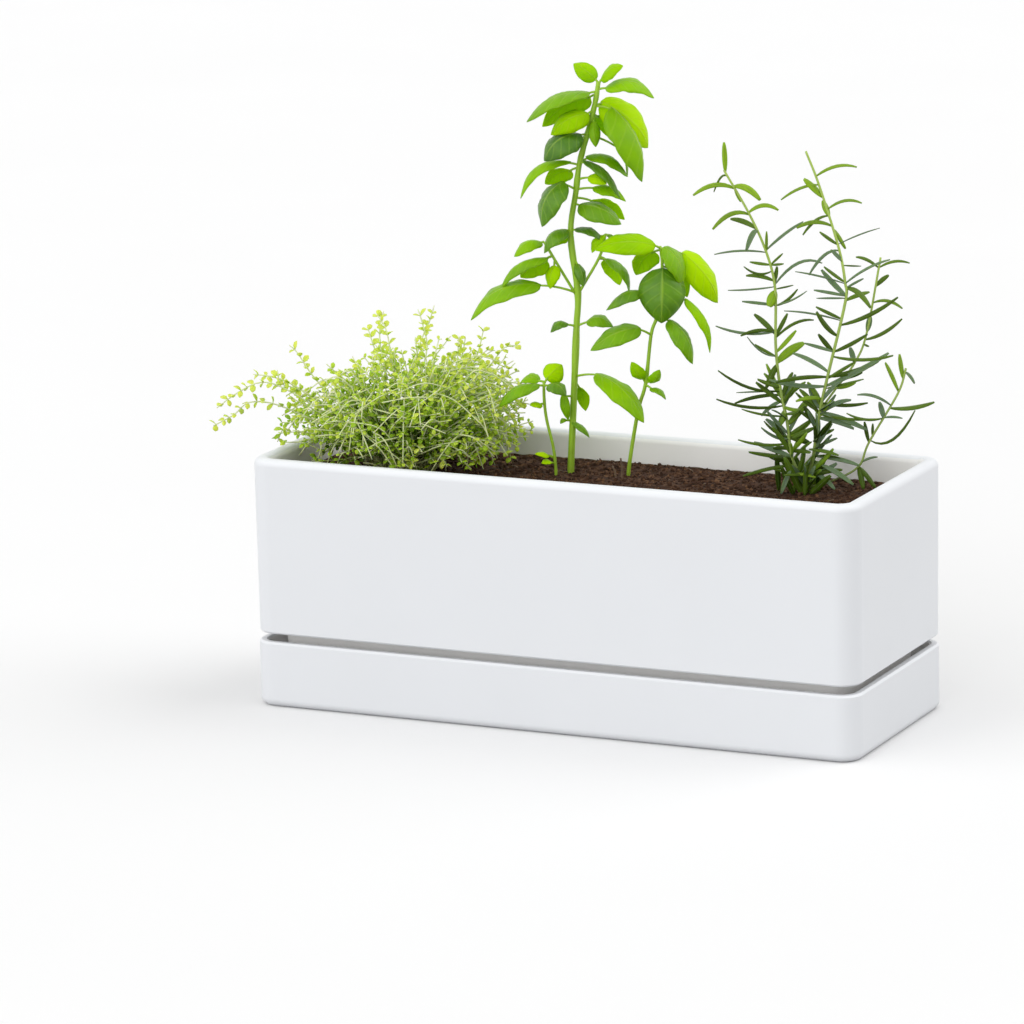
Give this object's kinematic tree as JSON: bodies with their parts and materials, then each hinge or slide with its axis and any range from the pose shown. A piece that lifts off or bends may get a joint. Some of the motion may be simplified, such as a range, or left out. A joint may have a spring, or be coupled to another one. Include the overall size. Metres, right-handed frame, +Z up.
{
  "type": "indoor herb planter",
  "caption": "Long rectangular white planter: a double-walled pot that lifts out of a matching drip saucer, filled with potting soil and planted with thyme, basil and rosemary.",
  "frame": {"origin": "middle of the saucer's flat underside", "axes": "+X along the length, -Y towards the front, +Z up"},
  "size_m": [0.3427, 0.12, 0.3161],
  "materials": {
    "saucer_plastic": "satin white, taken to be moulded plastic",
    "pot_plastic": "satin white, taken to be moulded plastic",
    "soil": "dark crumbly potting mix",
    "thyme_foliage": "small yellow-green leaves on pale stems",
    "basil_foliage": "green leaves with a soft sheen on pale green stems",
    "rosemary_foliage": "grey-green narrow leaves on yellow-green stems"
  },
  "bodies": {
    "saucer": {"saucer": "saucer_plastic"},
    "pot": {"pot": "pot_plastic", "soil": "soil", "thyme": "thyme_foliage", "basil_tall": "basil_foliage", "basil_side": "basil_foliage", "basil_young": "basil_foliage", "rosemary": "rosemary_foliage"}
  },
  "joints": [
    {"name": "pot_lift", "type": "slide", "parent": "saucer", "child": "pot", "axis": [0, 0, 1], "range_m": [0, 0.08]}
  ]
}
